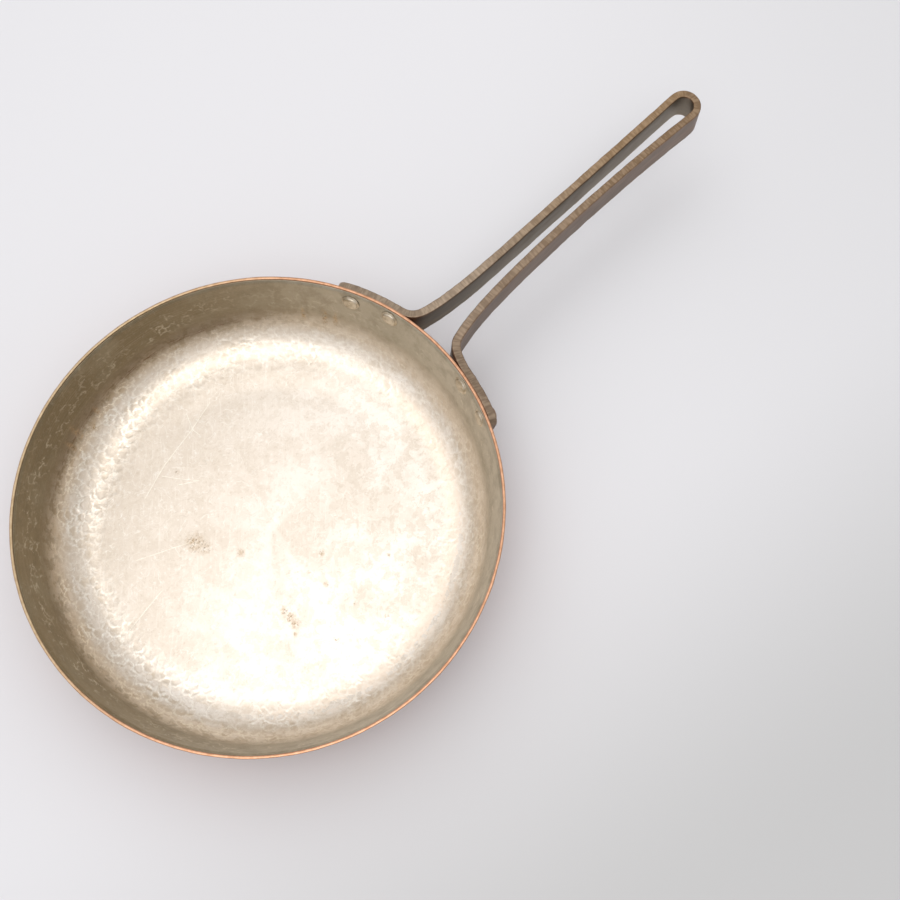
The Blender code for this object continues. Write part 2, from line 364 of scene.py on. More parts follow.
def copper_piece(material):
    """The copper shell: planished outside, with a filed rim."""
    wall = np.linspace(RIM_PLACE - RIM_ROUNDING, FLOOR_RADIUS - 4 * MM, 78)
    base = np.linspace(FLOOR_RADIUS - 6 * MM, AXIS_GAP, 26)
    outer_places = np.concatenate([wall, base])
    outer, outward, angle = revolve(outer_places, np.full(len(outer_places), COPPER))
    centres = blow_centres(COPPER_BLOWS_START, RIM_PLACE + BLOWS_PAST_RIM, COPPER_BLOW_PITCH, SEED + 2)
    place = np.repeat(outer_places[:, None], SPOKES, axis=1)
    height, rim_edge, _ = overlapping_dishes(outer, place, centres, COPPER_DISH_EDGE)
    strength = 0.35 + 0.65 * smooth(70 * MM, 98 * MM, place)
    strength *= 1 - smooth(RIM_PLACE - 2 * MM, RIM_PLACE, place)
    lift = height * COPPER_DISH_DEPTH * strength + ripple(outer, 30 * MM, 4.0) * 0.06 * MM
    outer = outer + outward * lift[..., None]
    outer[..., 2] = np.maximum(outer[..., 2], 0.0)

    inner_floor = np.linspace(AXIS_GAP, FLOOR_RADIUS - 4 * MM, 8)
    inner_wall = np.linspace(FLOOR_RADIUS, RIM_PLACE - RIM_ROUNDING, 14)
    inner_places = np.concatenate([inner_floor, inner_wall])
    inner, _, _ = revolve(inner_places, np.full(len(inner_places), LEVEL))

    rim_line = profile_at(RIM_PLACE, 0.0)[0]
    file_marks = ripple(ring_points(RIM_RADIUS, 0.0, angle), 9 * MM, 5.0)
    thick = COPPER / math.cos(FLARE) + file_marks * 0.10 * MM
    rings = []
    rim_shares = (0.0, 0.06, 0.2, 0.8, 0.94, 1.0)
    rim_drops = (0.42 * MM, 0.14 * MM, 0.0, 0.0, 0.14 * MM, 0.42 * MM)
    for share, drop in zip(rim_shares, rim_drops):
        radius = rim_line[0] + share * thick + out_of_round(angle, PAN_HEIGHT)
        radius -= drop * math.tan(FLARE)
        rings.append(ring_points(radius, PAN_HEIGHT - drop, angle))
    rim = np.stack(rings)

    grid = np.concatenate([inner, rim, outer]).reshape(-1, 3)
    rows = len(inner_places) + len(rings) + len(outer_places)
    faces = closed_faces(rows, SPOKES)
    marks, across = np.zeros((rows, SPOKES)), np.zeros((rows, SPOKES))
    marks[-len(outer_places):] = rim_edge * strength
    across[len(inner_places):-len(outer_places)] = np.array(rim_shares)[:, None]
    across[-len(outer_places):] = 1.0
    attributes = {"ridge": marks.ravel(), "rim_share": across.ravel()}
    return make_piece("pan_shell", grid, faces, material, attributes)


# ---- handle line

def along(x, pair):
    """A size that changes evenly from the foot to the loop."""
    share = min(max((x - LEG_START) / (LOOP_CENTRE - LEG_START), 0), 1)
    return pair[0] + (pair[1] - pair[0]) * share


def middle_line(x):
    return SWAY_START + SWAY_BEND * (x - LEG_START) ** 2


def half_gap(x):
    spread = ROOT_SPREAD * math.exp(-(x - LEG_START) / ROOT_SPREAD_FADE)
    return WAIST_HALF_GAP + spread + LOOP_SPREAD * max(x - WAIST_PLACE, 0.0) ** 2


def find_loop_centre():
    """The loop's centre, so that its outer end meets the end of the frame's handle."""
    centre = handle_high.x - 9 * MM
    for _ in range(20):
        centre = handle_high.x - half_gap(centre) - BAR_THICK[1]
    return centre


LOOP_CENTRE = find_loop_centre()


def leg_point(x, side):
    """Middle of one leg's bar in plan; side is 1 for the left leg and -1 for the right."""
    return Vector((x, middle_line(x) + side * (half_gap(x) + along(x, BAR_THICK) / 2)))


def on_circle(angle, radius):
    return Vector((radius * math.cos(angle), radius * math.sin(angle)))


def foot_radius():
    """Radius of the bar's middle at its top edge, where it lies against the copper."""
    at_top = RIM_RADIUS - (PAN_HEIGHT - BAR_TOP) * math.tan(FLARE)
    return at_top + (COPPER + CLEARANCE + BAR_THICK[0] / 2) / math.cos(FLARE)


def foot_and_leg(side, leave, tip):
    """Plan points of one foot, its bend and its leg, closely spaced from the tip to the loop."""
    radius = foot_radius()
    points = [on_circle(tip + (leave - tip) * i / 120, radius) for i in range(121)]
    start, start_way = points[-1], on_circle(leave - side * math.pi / 2, 1.0)
    end = leg_point(LEG_START, side)
    end_way = (leg_point(LEG_START + MM, side) - end).normalized()
    between = end - start
    turn = start_way.cross(end_way)
    first = start + start_way * (between.cross(end_way) / turn) * BEND_STIFFNESS
    second = end - end_way * (start_way.cross(between) / turn) * BEND_STIFFNESS
    for i in range(1, 60):
        t = i / 60
        s = 1 - t
        points.append(start * s ** 3 + first * 3 * s * s * t + second * 3 * s * t * t + end * t ** 3)
    for i in range(301):
        points.append(leg_point(LEG_START + (LOOP_CENTRE - LEG_START) * i / 300, side))
    return points


def handle_line():
    """The bar's middle line in plan, evenly spaced from one tip to the other, and each place on it."""
    centre = Vector((LOOP_CENTRE, middle_line(LOOP_CENTRE)))
    radius = half_gap(LOOP_CENTRE) + BAR_THICK[1] / 2
    loop = [centre + on_circle(math.pi / 2 - math.pi * i / 100, radius) for i in range(1, 100)]
    line = foot_and_leg(1, *LEFT_FOOT) + loop + foot_and_leg(-1, *RIGHT_FOOT)[::-1]
    line = np.array([tuple(p) for p in line])
    length = lengths_along(line)
    places = np.linspace(0, length[-1], int(length[-1] / STATION))
    return softened(read_off(line, length, places), LINE_SOFTENING), places


def bar_outline():
    """Corner-rounded outline of the bar's section in shares: across from -1 to 1, down from 0 to 1."""
    top = [(x, 0.0) for x in np.linspace(-0.80, 0.80, 9)]
    right = [(1.0, y) for y in np.linspace(0.045, 0.955, 20)]
    bottom = [(x, 1.0) for x in np.linspace(0.80, -0.80, 9)]
    left = [(-1.0, y) for y in np.linspace(0.955, 0.045, 20)]
    soft = [(0.93, 0.012), (0.93, 0.988), (-0.93, 0.988), (-0.93, 0.012)]
    return np.array(top + soft[:1] + right + soft[1:2] + bottom + soft[2:3] + left + soft[3:])


def handle_piece(material):
    """The forged bar: lofted along its line, with tool ticks on its edges and hammered flats."""
    line, places = handle_line()
    total = places[-1]
    count = len(line)
    way = unit(np.gradient(line, axis=0))
    out = np.linalg.norm(line, axis=1)
    on_foot = 1 - smooth(foot_radius(), LEG_START + LEAN_FADE, out)
    radial = np.column_stack([line / out[:, None], np.zeros(count)])
    up = unit(np.array([0, 0, 1.0]) + radial * (math.tan(FLARE) * on_foot)[:, None])
    across = unit(np.cross(np.column_stack([way, np.zeros(count)]), up))
    rise_of_top = np.maximum(line[:, 0] - LEG_START, 0) * math.tan(BAR_RISE)
    top = np.column_stack([line, BAR_TOP + rise_of_top])

    thick = np.array([along(x, BAR_THICK) for x in line[:, 0]])
    depth = np.array([along(x, BAR_DEPTH) for x in line[:, 0]])
    from_tip = np.minimum(places, total - places)
    short = np.clip(TIP_ROUNDING - from_tip, 0, TIP_ROUNDING)
    trim = TIP_ROUNDING - np.sqrt(np.maximum(TIP_ROUNDING ** 2 - short ** 2, 0))

    outline = bar_outline()
    side = outline[:, 0][None, :]
    down = outline[:, 1][None, :]
    half = thick[:, None] / 2
    sideways = side * half
    depthways = trim[:, None] + down * (depth - 2 * trim)[:, None]
    along_bar = np.repeat(places[:, None], len(outline), axis=1)
    cloth = np.stack([along_bar, sideways, depthways], axis=-1)

    edge = 1 - smooth(0.0, 0.10, np.minimum(down, 1 - down) + 0 * along_bar)
    corner = smooth(0.75, 1.0, np.abs(side) + 0 * along_bar) * edge
    ticks = ripple(cloth * np.array([1.0, 0.16, 0.16]), 0.9 * MM, 1.0, 2)
    broad = ripple(cloth * np.array([1.0, 0.4, 0.4]), 4.5 * MM, 2.0, 2)
    flats = ripple(cloth, 11 * MM, 3.0, 2)
    cut = np.clip(ticks, -1, 0.35)
    rise = edge * (cut * TICK_DEPTH + broad * EDGE_WAVE) + FLAT_DEPTH * flats * (1 - edge)
    sideways = sideways + side * (SIDE_WAVE * flats + corner * (ticks * ARRIS_TICK + broad * ARRIS_WAVE))
    direction = np.where(down < 0.5, 1.0, -1.0) * edge
    points = (
        top[:, None, :]
        + across[:, None, :] * sideways[..., None]
        - up[:, None, :] * (depthways - direction * rise)[..., None]
    )
    grid = points.reshape(-1, 3)
    columns = len(outline)
    faces = [face[::-1] for face in closed_faces(count, columns)]
    zero = 0 * along_bar
    bar = make_piece(
        "handle_bar", grid, faces, material,
        {
            "edge": (edge + zero).ravel(), "tick": ticks.ravel(), "arris": (corner + zero).ravel(),
            "run": along_bar.ravel(), "cross": (sideways + zero).ravel(), "sink": depthways.ravel(),
        },
    )
    bar.data.set_sharp_from_angle(angle=math.radians(50))
    return bar


# ---- rivets

SHANK_RADIUS = 2.0 * MM
SHANK_NECK = 0.1 * MM        # the shank ends this far inside each head
OUTER_DOME = 3.9 * MM
OUTER_DOME_HEIGHT = 1.4 * MM
OUTER_DOME_EDGE = 0.35 * MM  # upright edge under the dome
INNER_DOME = 3.8 * MM
INNER_DOME_HEIGHT = 0.75 * MM
INNER_DOME_EDGE = 0.70 * MM
INNER_FILLET = ((5.0, -0.02), (4.9, 0.18), (4.55, 0.34), (4.2, 0.40), (4.0, 0.62))   # radius, height in mm
DOME_RINGS = 14
RIVET_COLUMNS = 72
DENT_DEPTH = 0.16 * MM
DENT_SHARE = 0.06            # of the radius


def rivet_matrix(node):
    """Origin on the copper's inner face, local +Z out through the wall, found from the node's box."""
    low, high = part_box(node)
    centre = (low + high) / 2
    angle = math.atan2(centre.y, centre.x)
    out = Vector((math.cos(angle) * math.cos(FLARE), math.sin(angle) * math.cos(FLARE), -math.sin(FLARE)))
    wall = RIM_RADIUS - (PAN_HEIGHT - centre.z) * math.tan(FLARE)
    gap = (math.hypot(centre.x, centre.y) - wall) * math.cos(FLARE)
    origin = centre - out * gap
    turn = Matrix.Rotation(angle, 4, "Z") @ Matrix.Rotation(math.pi / 2 + FLARE, 4, "Y")
    return Matrix.Translation(origin) @ turn


def rivet_profile(outer_seat, inner_seat):
    """Rings as (radius, height out of the pan) from the outer head to the inner one, and both poles."""
    outer_rings = [
        (OUTER_DOME * math.sin(t), outer_seat + OUTER_DOME_EDGE + OUTER_DOME_HEIGHT * math.cos(t))
        for t in np.linspace(0.15, math.pi / 2, DOME_RINGS)
    ]
    seat = [(OUTER_DOME - LEVEL, outer_seat)]
    shank = [(SHANK_RADIUS, outer_seat - SHANK_NECK), (SHANK_RADIUS, inner_seat + SHANK_NECK)]
    fillet = [(radius * MM, inner_seat - height * MM) for radius, height in INNER_FILLET]
    inner_rings = [
        (INNER_DOME * math.sin(t), inner_seat - INNER_DOME_EDGE - INNER_DOME_HEIGHT * math.cos(t) ** 0.7)
        for t in np.linspace(math.pi / 2 - 0.1, 0.1, DOME_RINGS)
    ]
    rings = np.array(outer_rings + seat + shank + fillet + inner_rings)
    outer_pole = outer_seat + OUTER_DOME_EDGE + OUTER_DOME_HEIGHT
    return rings, outer_pole, inner_seat - INNER_DOME_EDGE - INNER_DOME_HEIGHT


def rivet_piece(name, node, number, material):
    """A hand-set rivet: a low flattened head inside, a shank, and a peened head outside."""
    outer_seat = COPPER + CLEARANCE + BAR_THICK[0] - LEVEL
    inner_seat = -TIN + LEVEL
    rings, outer_pole, inner_pole = rivet_profile(outer_seat, inner_seat)
    angle = np.arange(RIVET_COLUMNS) * 2 * math.pi / RIVET_COLUMNS
    radius, level = rings[:, :1], rings[:, 1:]
    points = ring_points(radius, level, angle)
    head = smooth(2.2 * MM, 3.0 * MM, radius) + smooth(inner_seat, inner_seat - 0.5 * MM, level)
    head = np.clip(head + (level > outer_seat + 0.3 * MM), 0, 1)
    points[..., 2] += ripple(points, 2.6 * MM, 10.0 + number, 2) * head * DENT_DEPTH
    points[..., :2] *= (1 + ripple(points, 4 * MM, 20.0 + number, 1) * DENT_SHARE * head)[..., None]
    grid = np.concatenate([points.reshape(-1, 3), [[0, 0, outer_pole], [0, 0, inner_pole]]])
    faces = grid_faces(len(rings), RIVET_COLUMNS)[:, ::-1].tolist()
    first, last = len(grid) - 2, len(grid) - 1
    low_row = (len(rings) - 1) * RIVET_COLUMNS
    for k in range(RIVET_COLUMNS):
        following = (k + 1) % RIVET_COLUMNS
        faces.append([first, k, following])
        faces.append([last, low_row + following, low_row + k])
    inside = np.append(smooth(0.0, -0.5 * MM, points[..., 2]).ravel(), [0.0, 1.0])
    matrix = rivet_matrix(node)
    grid = np.array([tuple(matrix @ Vector(p)) for p in grid])
    return make_piece(name, grid, faces, material, {"inside": inside})


# ---- node helpers

class Nodes:
    """Short calls for building the node tree of one material or world."""

    def __init__(self, owner):
        owner.use_nodes = True
        self.owner = owner
        self.tree = owner.node_tree

    def feed(self, socket, value):
        if isinstance(value, bpy.types.NodeSocket):
            self.tree.links.new(value, socket)
        elif socket.type == "RGBA":
            colour = value if isinstance(value, tuple) else (value, value, value)
            socket.default_value = (*colour, 1.0)
        else:
            socket.default_value = value

    def node(self, kind, inputs=None, **settings):
        made = self.tree.nodes.new(kind)
        for key, value in settings.items():
            setattr(made, key, value)
        for key, value in (inputs or {}).items():
            self.feed(made.inputs[key], value)
        return made

    def math(self, operation, a, b=0.0, c=0.0):
        return self.node("ShaderNodeMath", {0: a, 1: b, 2: c}, operation=operation).outputs[0]

    def add(self, a, b):
        return self.math("ADD", a, b)

    def times(self, first, *others):
        for other in others:
            first = self.math("MULTIPLY", first, other)
        return first

    def larger(self, a, b):
        return self.math("MAXIMUM", a, b)

    def gap(self, value, centre):
        """How far the value is from the centre."""
        return self.math("ABSOLUTE", self.math("SUBTRACT", value, centre))

    def attribute(self, name):
        return self.node("ShaderNodeAttribute", attribute_name=name).outputs["Fac"]

    def position(self):
        return self.node("ShaderNodeTexCoord").outputs["Object"]

    def vector(self, operation, a, b, output=0):
        return self.node("ShaderNodeVectorMath", {0: a, 1: b}, operation=operation).outputs[output]

    def along_way(self, vector, way):
        """The vector's reach along a fixed direction."""
        return self.vector("DOT_PRODUCT", vector, way, "Value")

    def distance(self, vector, point):
        return self.vector("DISTANCE", vector, point, "Value")

    def scaled(self, vector, scale):
        return self.node("ShaderNodeMapping", {"Vector": vector, "Scale": scale}).outputs[0]

    def noise(self, vector, scale, detail=3.0, roughness=0.55, distortion=0.0):
        inputs = {"Vector": vector, "Scale": scale, "Detail": detail, "Roughness": roughness,
                  "Distortion": distortion}
        return self.node("ShaderNodeTexNoise", inputs).outputs["Fac"]

    def streaks(self, vector, slow, fast, detail=3.0, roughness=0.6):
        """Noise drawn out along the vector's first axis."""
        return self.noise(self.scaled(vector, (slow, fast, slow)), 1.0, detail, roughness)

    def turned(self, vector, degrees):
        """The vector turned about the vertical, so that its first axis lies at that angle."""
        return self.node("ShaderNodeVectorRotate", {"Vector": vector, "Angle": math.radians(-degrees)},
                         rotation_type="Z_AXIS").outputs[0]

    def bent(self, vector, scale, size):
        """The vector pushed sideways at random, which bends straight patterns."""
        made = self.node("ShaderNodeTexNoise", {"Vector": vector, "Scale": scale, "Detail": 2.0})
        middle = self.vector("SUBTRACT", made.outputs["Color"], (0.5, 0.5, 0.5))
        return self.vector("ADD", vector, self.vector("MULTIPLY", middle, (size, size, 0.0)))

    def ramp(self, value, low, high, out_low=0.0, out_high=1.0):
        inputs = {"Value": value, "From Min": low, "From Max": high, "To Min": out_low, "To Max": out_high}
        return self.node("ShaderNodeMapRange", inputs, interpolation_type="SMOOTHSTEP").outputs[0]

    def mix(self, share, a, b):
        return self.node("ShaderNodeMix", {0: share, 6: a, 7: b}, data_type="RGBA").outputs[2]

    def bump(self, height, distance, strength):
        inputs = {"Height": height, "Distance": distance, "Strength": strength}
        return self.node("ShaderNodeBump", inputs).outputs[0]

    def layered(self, colour, *layers):
        """The colour with each (share, tint) laid over it in turn."""
        for share, tint in layers:
            colour = self.mix(share, colour, tint)
        return colour

    def finish(self, colour, roughness, normal=None):
        """Metal with this surface, or matt paint where no normal is given."""
        shader = self.tree.nodes["Principled BSDF"]
        self.feed(shader.inputs["Base Color"], colour)
        self.feed(shader.inputs["Roughness"], roughness)
        self.feed(shader.inputs["Metallic"], 0.0 if normal is None else 1.0)
        if normal is not None:
            self.feed(shader.inputs["Normal"], normal)
        return self.owner


def polar(nodes, position):
    """Angle round the pan, radius and height of the shaded point."""
    split = nodes.node("ShaderNodeSeparateXYZ", {0: position}).outputs
    angle = nodes.math("ARCTAN2", split[1], split[0])
    square = nodes.add(nodes.times(split[0], split[0]), nodes.times(split[1], split[1]))
    return angle, nodes.math("SQRT", square), split[2]


# ---- tin

CLEAN_TIN = (0.93, 0.85, 0.75)
WORN_TIN = (0.80, 0.705, 0.59)
PATCHY_TIN = (0.70, 0.605, 0.485)
WIPED_TIN = (0.97, 0.90, 0.80)
BRIGHT_HAIR = (1.0, 0.95, 0.86)
DULL_HAIR = (0.56, 0.48, 0.38)
DULL_FLECK = (0.52, 0.44, 0.34)
# painted shade in the hammer dents, its strength varied at random from dent to dent
HOLLOW_SHADE_AND_TONE = (0.66, 0.55, 0.415)
# painted highlight along the floor's corner
CORNER_RING_HIGHLIGHT = (1.0, 0.85, 0.69)
GREY_PATINA = (0.51, 0.465, 0.38)
# brown patina, partly painted shade on the wall's darker side
BROWN_PATINA_AND_SHADE = (0.290, 0.232, 0.145)
DIRTY_PATINA = (0.185, 0.142, 0.082)
PALE_TURNING = (0.47, 0.41, 0.315)
DARK_PATCH = (0.20, 0.16, 0.10)
PALE_CLOUD = (0.42, 0.375, 0.28)
CREASE_MOTTLE = (0.27, 0.215, 0.135)
CREASE_BAND = (0.185, 0.130, 0.072)
RUST_LINE = (0.17, 0.085, 0.04)
# painted highlights on the ridges between the hammer marks
FLOOR_RIDGE_HIGHLIGHT = (1.0, 0.94, 0.82)
WALL_RIDGE_HIGHLIGHT = (0.92, 0.85, 0.71)
BRIGHT_SCRATCH = (1.0, 0.95, 0.82)
DARK_GRIT = (0.60, 0.49, 0.36)
PALE_GRIT = (1.0, 0.97, 0.90)
TAN_STAIN = (0.56, 0.41, 0.25)
BROWN_SPOT = (0.24, 0.15, 0.07)

WORN_SIDE = Vector((math.cos(math.radians(112)), math.sin(math.radians(112)), 0.0))
BROWN_SHADED_SIDE = math.radians(130)
DIRTY_SIDE = math.radians(90)
CREASE_MIDDLE = 22 * MM      # height of the middle of the dirty crease
DIRT_LINE_HEIGHT = 19 * MM
DIRT_BAND_HEIGHT = 20 * MM
MEAN_LAP = 0.11              # metres along the crease for each radian round the pan

SCRATCHES = (
    # width in mm, then the points it runs through as (angle in degrees, radius in mm)
    (0.30, ((73, 79), (86, 71), (105, 69), (122, 71))),
    (0.26, ((83, 80), (85, 71), (84, 66))),
    (0.24, ((110, 67), (108, 59), (103, 48))),
    (0.26, ((111, 57), (103, 48))),
    (0.28, ((172, 91), (166, 67))),
    (0.22, ((149, 74), (146, 45))),
)
STAINS = (
    # angle in degrees, radius in mm, size in mm
    (-126, 46, 3.4), (-123, 50, 4.8), (-121, 54, 4.2), (-122, 59, 2.0), (-84, 78, 2.2),
    (-87, 78, 1.4), (-89, 61, 1.1), (-93, 43, 2.2), (-97, 32, 1.4), (-60, 64, 1.5),
    (147, 42, 8.5), (153, 37, 5.0), (105, 61, 1.8), (-75, 30, 3.0), (175, 22, 3.5),
    (-105, 70, 2.4), (110, 113, 2.8), (106, 110, 2.4), (102, 112, 2.2), (114, 113, 2.2),
    (37, 114, 1.8), (31, 114, 2.6), (28, 114, 2.2),
)


def floor_point(angle, radius):
    """A point of the pan's floor, from degrees and millimetres."""
    turn = math.radians(angle)
    return Vector((radius * MM * math.cos(turn), radius * MM * math.sin(turn), 0.0))


def scratch(n, where, start, end, width):
    """1 along a fine straight line between two points of the floor, fading to 0 beside it."""
    first, last = floor_point(*start), floor_point(*end)
    way = last - first
    flat = n.scaled(where, (1.0, 1.0, 0.0))
    from_start = n.vector("SUBTRACT", flat, first)
    reach = n.along_way(from_start, way / way.length_squared)
    share = n.math("MINIMUM", n.larger(reach, 0.0), 1.0)
    nearest = n.node("ShaderNodeVectorMath", {0: way, "Scale": share}, operation="SCALE").outputs[0]
    return n.ramp(n.distance(from_start, nearest), width * 0.5 * MM, width * 1.1 * MM, 1.0, 0.0)


def stain(n, where, angle, radius, size):
    """1 in the middle of a round stain, fading to 0 at its edge."""
    flat = n.scaled(where, (1.0, 1.0, 0.0))
    return n.ramp(n.distance(flat, floor_point(angle, radius)), 0.0, size * MM, 1.0, 0.0)


class OldTin(Nodes):
    """Old wiped tin: warm grey, polished and with painted highlights on its high spots, stained along the
    crease.
    """

    def __init__(self):
        super().__init__(bpy.data.materials.new("old_tin"))
        self.where = self.position()
        self.angle, _, self.height = polar(self, self.where)
        self.place = self.attribute("place")
        self.ridge = self.attribute("ridge")
        self.across = self.along_way(self.where, WORN_SIDE)
        self.make_patterns()
        self.make_zones()

    def side(self, angle):
        """1 on the side of the pan at that angle, -1 on the opposite side."""
        return self.math("COSINE", self.math("SUBTRACT", self.angle, angle))

    def make_patterns(self):
        around = self.times(self.angle, MEAN_LAP)
        lap = self.node("ShaderNodeCombineXYZ", {0: around, 1: self.place}).outputs[0]
        bent = self.bent(self.where, 60.0, 2.5 * MM)
        curled = self.bent(self.where, 120.0, 16 * MM)
        self.cloud = self.noise(self.where, 30.0, 6.0, 0.62)
        self.patch = self.noise(bent, 110.0, 8.0, 0.68)
        self.blotch = self.noise(bent, 170.0, 6.0, 0.62, 0.3)
        self.grit = self.noise(bent, 430.0, 5.0, 0.7)
        self.grain = self.noise(self.where, 620.0, 3.0, 0.65)
        self.turning = self.streaks(lap, 22.0, 1500.0)
        self.flecks = self.streaks(lap, 170.0, 800.0, 3.0, 0.65)
        self.wipe = self.streaks(self.turned(bent, 44.0), 60.0, 700.0, 4.0, 0.65)
        self.hairs = self.streaks(self.turned(curled, -18.0), 80.0, 1500.0, 4.0)
        self.more_hairs = self.streaks(self.turned(curled, 77.0), 80.0, 1500.0, 4.0)
        middle = self.math("SUBTRACT", self.streaks(lap, 26.0, 1.0, 3.0, 0.55), 0.5)
        self.wander = self.times(middle, 7 * MM)

    def make_zones(self):
        self.wall = self.ramp(self.height, 9 * MM, 30 * MM)
        self.corner = self.ramp(self.place, 90 * MM, 99 * MM)
        self.brown_shaded_side = self.ramp(self.side(BROWN_SHADED_SIDE), -0.75, 0.80)
        self.dirt_side = self.ramp(self.side(DIRTY_SIDE), 0.58, 1.0)
        self.from_crease = self.gap(self.height, CREASE_MIDDLE)
        from_band = self.gap(self.height, self.add(self.wander, DIRT_BAND_HEIGHT))
        self.band = self.times(
            self.ramp(from_band, 0.0, 9.5 * MM, 1.0, 0.0), self.ramp(self.cloud, 0.25, 0.7, 0.45, 1.0)
        )


def tin_floor(n):
    """Clean tin on one side and worn on the other, with patches, wipe marks and hair scratches."""
    clean = n.mix(n.ramp(n.across, -20 * MM, 80 * MM), CLEAN_TIN, WORN_TIN)
    patchiness = n.ramp(n.across, -70 * MM, 30 * MM, 0.46, 0.24)
    bright = n.larger(n.ramp(n.hairs, 0.60, 0.68), n.ramp(n.more_hairs, 0.60, 0.68))
    dull = n.larger(n.ramp(n.hairs, 0.40, 0.32), n.ramp(n.more_hairs, 0.38, 0.30))
    return n.layered(
        clean,
        (n.ramp(n.cloud, 0.44, 0.58), n.mix(0.6, clean, WORN_TIN)),
        (n.times(n.ramp(n.blotch, 0.50, 0.54), patchiness), PATCHY_TIN),
        (n.times(n.ramp(n.wipe, 0.52, 0.70), 0.35), WIPED_TIN),
        (n.times(bright, 0.50), BRIGHT_HAIR),
        (n.times(dull, 0.22), DULL_HAIR),
    )


def flecked_shaded_lit_corner(n, colour):
    """Flecks and painted shade in the hollows of the corner, with a painted highlight along the corner's
    edge on the clean side.
    """
    tone = n.ramp(n.attribute("tone"), 0.0, 1.0, 0.05, 0.90)
    # painted highlight: a bright ring along the corner, strongest on the clean side
    edge = n.ramp(n.gap(n.place, 98 * MM), 0.0, 9 * MM, 0.75, 0.0)
    return n.layered(
        colour,
        (n.times(n.corner, n.ramp(n.flecks, 0.40, 0.66), 0.16), DULL_FLECK),
        # painted shade in the dents, scaled by each dent's random tone
        (n.times(n.corner, n.attribute("hollow"), tone), HOLLOW_SHADE_AND_TONE),
        (n.times(edge, n.ramp(n.across, 10 * MM, -70 * MM)), CORNER_RING_HIGHLIGHT),
    )


def tin_wall(n):
    """Patina, from grey to a darker brown round the pan, the dark brown side partly painted shade, with
    turning lines and cloudy patches.
    """
    return n.layered(
        # partly painted shade: the wall on the view's left is darker and browner
        n.mix(n.brown_shaded_side, GREY_PATINA, BROWN_PATINA_AND_SHADE),
        (n.times(n.dirt_side, 0.55), DIRTY_PATINA),
        (n.times(n.ramp(n.turning, 0.45, 0.75), 0.26), PALE_TURNING),
        (n.times(n.ramp(n.patch, 0.44, 0.64), 0.34), DARK_PATCH),
        (n.times(n.ramp(n.cloud, 0.48, 0.66), 0.30), PALE_CLOUD),
    )


def dirty_crease(n, colour):
    near = n.times(n.ramp(n.from_crease, 11 * MM, 4 * MM), n.brown_shaded_side)
    from_line = n.gap(n.height, n.add(n.wander, DIRT_LINE_HEIGHT))
    line = n.times(n.ramp(from_line, 0.2 * MM, 2.2 * MM, 1.0, 0.0), n.ramp(n.flecks, 0.44, 0.66))
    return n.layered(
        colour,
        (n.times(near, n.ramp(n.blotch, 0.46, 0.58), 0.50), CREASE_MOTTLE),
        (n.times(n.band, n.dirt_side, 0.62), CREASE_BAND),
        (n.times(line, n.dirt_side, 0.62), RUST_LINE),
    )


def painted_ridge_highlights(n, colour):
    """Painted highlights on the polished ridges between the hammer marks, in broken arcs on the wall, none
    in the crease.
    """
    shine = n.ramp(n.noise(n.where, 75.0, 3.0, 0.6), 0.28, 0.50)
    breaks = n.ramp(n.noise(n.where, 150.0, 2.0, 0.5), 0.45, 0.58)
    ridge_highlight = n.times(
        n.ridge, shine, n.ramp(n.from_crease, 3 * MM, 10 * MM),
        n.ramp(n.height, 37 * MM, 46 * MM, 1.0, 0.20),
        n.larger(breaks, n.ramp(n.height, 27 * MM, 18 * MM)),
    )
    return n.mix(ridge_highlight, colour, n.mix(n.wall, FLOOR_RIDGE_HIGHLIGHT, WALL_RIDGE_HIGHLIGHT))


def scratch_lines(n):
    lines = 0.0
    for width, corners in SCRATCHES:
        for start, end in zip(corners, corners[1:]):
            lines = n.larger(lines, scratch(n, n.where, start, end, width))
    return n.times(lines, n.ramp(n.grain, 0.30, 0.50, 0.35, 1.0))


def gritty(n, colour):
    """Fine dark and pale grit, stronger on the floor than on the wall."""
    dark = n.ramp(n.height, 22 * MM, 8 * MM, 0.10, 0.34)
    pale = n.ramp(n.height, 22 * MM, 8 * MM, 0.05, 0.40)
    return n.layered(
        colour,
        (n.times(n.ramp(n.grit, 0.54, 0.70), dark), DARK_GRIT),
        (n.times(n.ramp(n.grit, 0.45, 0.32), pale), PALE_GRIT),
    )


def stained(n, colour):
    """Tan stains with brown spots in them, and small pits. Returns the colour and the spots."""
    stains = 0.0
    for angle, radius, size in STAINS:
        stains = n.larger(stains, stain(n, n.where, angle, radius, size))
    tan = n.times(stains, n.ramp(n.noise(n.where, 380.0, 4.0, 0.7), 0.38, 0.58))
    colour = n.mix(n.times(tan, 0.75), colour, TAN_STAIN)
    brown = n.times(stains, n.ramp(n.noise(n.where, 900.0, 3.0, 0.7), 0.53, 0.63))
    pits = n.ramp(n.noise(n.where, 900.0, 2.0, 0.6), 0.70, 0.76)
    pits = n.times(pits, n.add(n.times(n.band, 0.9), 0.12))
    spots = n.larger(n.times(brown, 0.9), n.times(pits, 0.9))
    return n.mix(n.times(spots, 0.8), colour, BROWN_SPOT), spots


def tin_roughness(n, spots):
    roughness = n.ramp(n.cloud, 0.3, 0.7, 0.38, 0.46)
    roughness = n.add(roughness, n.times(n.ramp(n.grain, 0.3, 0.7), 0.05))
    roughness = n.add(roughness, n.times(n.larger(n.band, spots), 0.10))
    return n.math("SUBTRACT", roughness, n.times(n.ridge, 0.12))


